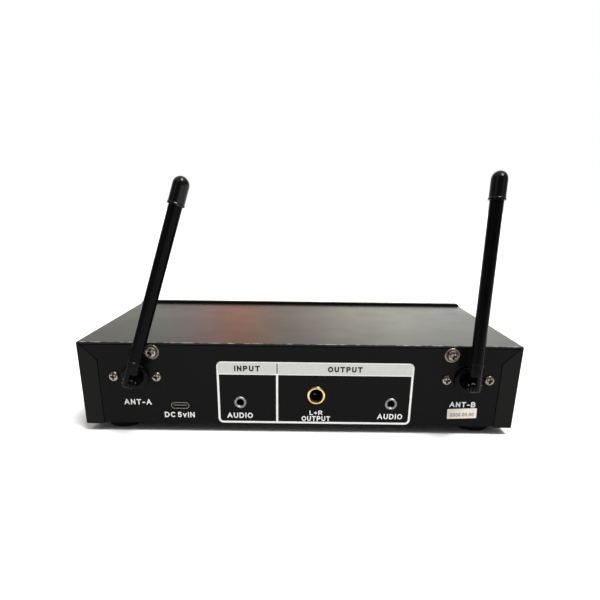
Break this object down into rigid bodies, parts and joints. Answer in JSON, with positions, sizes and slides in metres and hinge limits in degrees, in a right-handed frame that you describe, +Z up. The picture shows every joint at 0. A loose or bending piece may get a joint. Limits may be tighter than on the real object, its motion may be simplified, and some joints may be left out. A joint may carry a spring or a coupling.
{
  "type": "dual-antenna wireless audio receiver",
  "caption": "Steel-cased wireless audio receiver: hinged whip antennas, audio jacks and a USB-C power socket behind; display, volume knobs and push buttons in front.",
  "frame": {"origin": "centre of the bounding box in plan, on the plane that the feet stand on", "axes": "-Y toward the connectors and antennas (rear), +Y toward the controls (front), +X to the right seen from the rear, +Z up"},
  "size_m": [0.212, 0.1431, 0.1219],
  "materials": {
    "black_steel": "satin powder coat",
    "bezel_plastic": "fine texture",
    "black_plastic": "satin moulding",
    "cap_rubber": "smooth rubber",
    "foot_rubber": "matt rubber",
    "nickel": "nickel plate",
    "zinc_steel": "plain",
    "gold": "polished gold plate",
    "brass": "plain",
    "smoked_window": "gloss",
    "display_glass": "gloss",
    "circuit_board": "solder mask",
    "knob_plastic": "satin",
    "light_pipe": "clear",
    "capacitor_sleeve": "sleeve",
    "ribbon_grey": "flat cable"
  },
  "bodies": {
    "case": {"antenna_base_left": "black_plastic", "antenna_base_right": "black_plastic", "antenna_brackets": "zinc_steel", "antenna_screws": "nickel", "audio_chips": "black_plastic", "bezel_screws": "nickel", "board_screws": "nickel", "board_standoffs": "nickel", "capacitors": "capacitor_sleeve", "chassis": "black_steel", "coaxial_lead_left": "cap_rubber", "coaxial_lead_right": "cap_rubber", "cover_screw_washers": "nickel", "cover_screws": "nickel", "display_module": "display_glass", "display_window": "smoked_window", "foot_screws": "nickel", "front_bezel": "bezel_plastic", "front_board": "circuit_board", "front_board_screws": "nickel", "input_jack_body": "black_plastic", "input_jack_sleeve": "nickel", "line_jack_body": "black_plastic", "line_jack_bushing": "gold", "line_jack_contact": "brass", "main_board": "circuit_board", "output_jack_body": "black_plastic", "output_jack_sleeve": "nickel", "potentiometers": "black_plastic", "receiver_modules": "zinc_steel", "ribbon_cable": "ribbon_grey", "ribbon_connectors": "black_plastic", "rubber_feet": "foot_rubber", "short_range_radio_module": "zinc_steel", "status_lights": "light_pipe", "tact_switches": "black_plastic", "top_cover": "black_steel", "usb_c_shell": "nickel", "usb_c_tongue": "black_plastic"},
    "swivel_left": {"antenna_swivel_left": "black_plastic", "retaining_clip_left": "nickel"},
    "arm_left": {"antenna_knuckle_left": "black_plastic", "hinge_screw_left": "nickel", "antenna_rod_left": "black_plastic", "antenna_conductor_left": "brass", "antenna_cap_left": "cap_rubber"},
    "volume_left": {"volume_shaft_left": "nickel", "volume_knob_left": "knob_plastic"},
    "swivel_right": {"antenna_swivel_right": "black_plastic", "retaining_clip_right": "nickel"},
    "arm_right": {"antenna_knuckle_right": "black_plastic", "hinge_screw_right": "nickel", "antenna_rod_right": "black_plastic", "antenna_conductor_right": "brass", "antenna_cap_right": "cap_rubber"},
    "volume_right": {"volume_shaft_right": "nickel", "volume_knob_right": "knob_plastic"},
    "power_button": {"power_button": "bezel_plastic"},
    "function_button_a": {"function_button_a": "bezel_plastic"},
    "function_button_b": {"function_button_b": "bezel_plastic"}
  },
  "joints": [
    {"name": "antenna_swivel_left", "type": "hinge", "parent": "case", "child": "swivel_left", "pos_m": [-0.0792, -0.06842, 0.0289], "axis": [0, 1, 0], "range_deg": [-108.5, 31.5]},
    {"name": "antenna_fold_left", "type": "hinge", "parent": "swivel_left", "child": "arm_left", "pos_m": [-0.0792, -0.06842, 0.0289], "axis": [0.9483, 0, -0.3173], "range_deg": [-6.3, 93.7]},
    {"name": "antenna_swivel_right", "type": "hinge", "parent": "case", "child": "swivel_right", "pos_m": [0.0812, -0.06842, 0.0289], "axis": [0, 1, 0], "range_deg": [-52, 88]},
    {"name": "antenna_fold_right", "type": "hinge", "parent": "swivel_right", "child": "arm_right", "pos_m": [0.0812, -0.06842, 0.0289], "axis": [0.9994, 0, -0.0349], "range_deg": [-2.4, 97.6]},
    {"name": "volume_turn_left", "type": "hinge", "parent": "case", "child": "volume_left", "pos_m": [-0.06, 0.05358, 0.027], "axis": [0, 1, 0], "range_deg": [-150, 150]},
    {"name": "volume_turn_right", "type": "hinge", "parent": "case", "child": "volume_right", "pos_m": [0.06, 0.05358, 0.027], "axis": [0, 1, 0], "range_deg": [-150, 150]},
    {"name": "power_button_press", "type": "slide", "parent": "case", "child": "power_button", "axis": [0, -1, 0], "range_m": [0, 0.0008], "stiffness_N_per_m": 1200},
    {"name": "function_button_a_press", "type": "slide", "parent": "case", "child": "function_button_a", "axis": [0, -1, 0], "range_m": [0, 0.0008], "stiffness_N_per_m": 1200},
    {"name": "function_button_b_press", "type": "slide", "parent": "case", "child": "function_button_b", "axis": [0, -1, 0], "range_m": [0, 0.0008], "stiffness_N_per_m": 1200}
  ]
}
